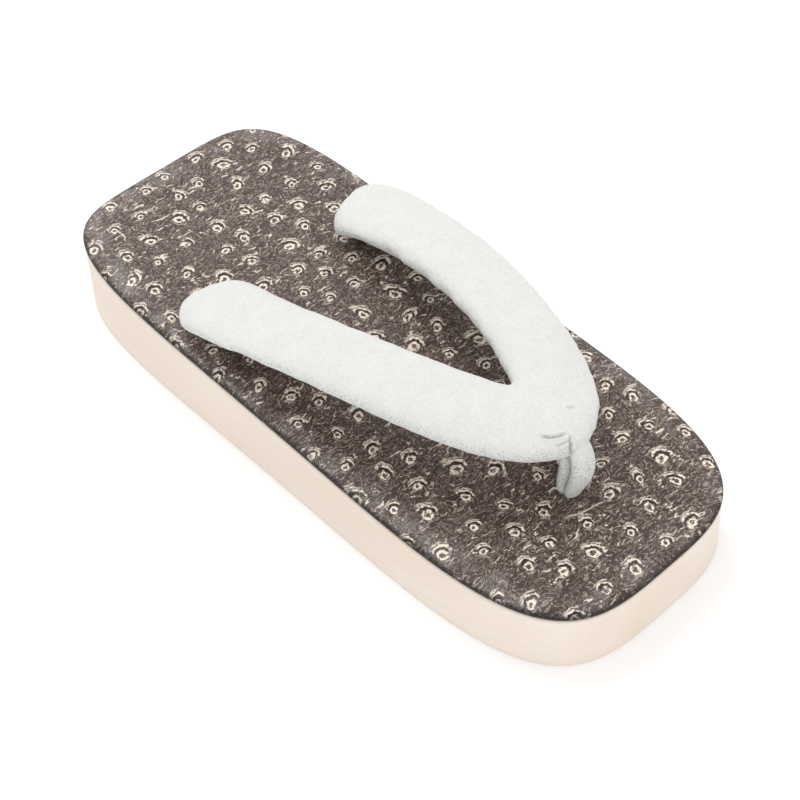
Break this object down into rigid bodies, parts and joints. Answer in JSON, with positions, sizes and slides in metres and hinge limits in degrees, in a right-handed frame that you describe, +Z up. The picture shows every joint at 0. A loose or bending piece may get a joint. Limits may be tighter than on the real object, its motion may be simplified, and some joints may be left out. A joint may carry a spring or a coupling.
{
  "type": "geta sandal",
  "caption": "Flat block geta sandal: solid light wood base, padded printed leather footbed, and a padded white cloth thong whose arms join over a cloth toe post.",
  "frame": {"origin": "on the floor, under the middle of the sandal's length and width", "axes": "+X is the wearer's right, +Y points to the toe, +Z is up"},
  "size_m": [0.0994, 0.24, 0.0562],
  "materials": {
    "wood_base": "pale fine-grained wood, sanded smooth, satin",
    "leather_footbed": "dark brown grained leather with a small cream print, soft sheen",
    "cloth_straps": "white napped cloth over soft padding, matt",
    "cloth_post": "white napped cloth rolled into a loop, matt"
  },
  "bodies": {
    "root": {"base": "wood_base", "footbed": "leather_footbed", "straps": "cloth_straps", "toe_post": "cloth_post"}
  },
  "joints": []
}
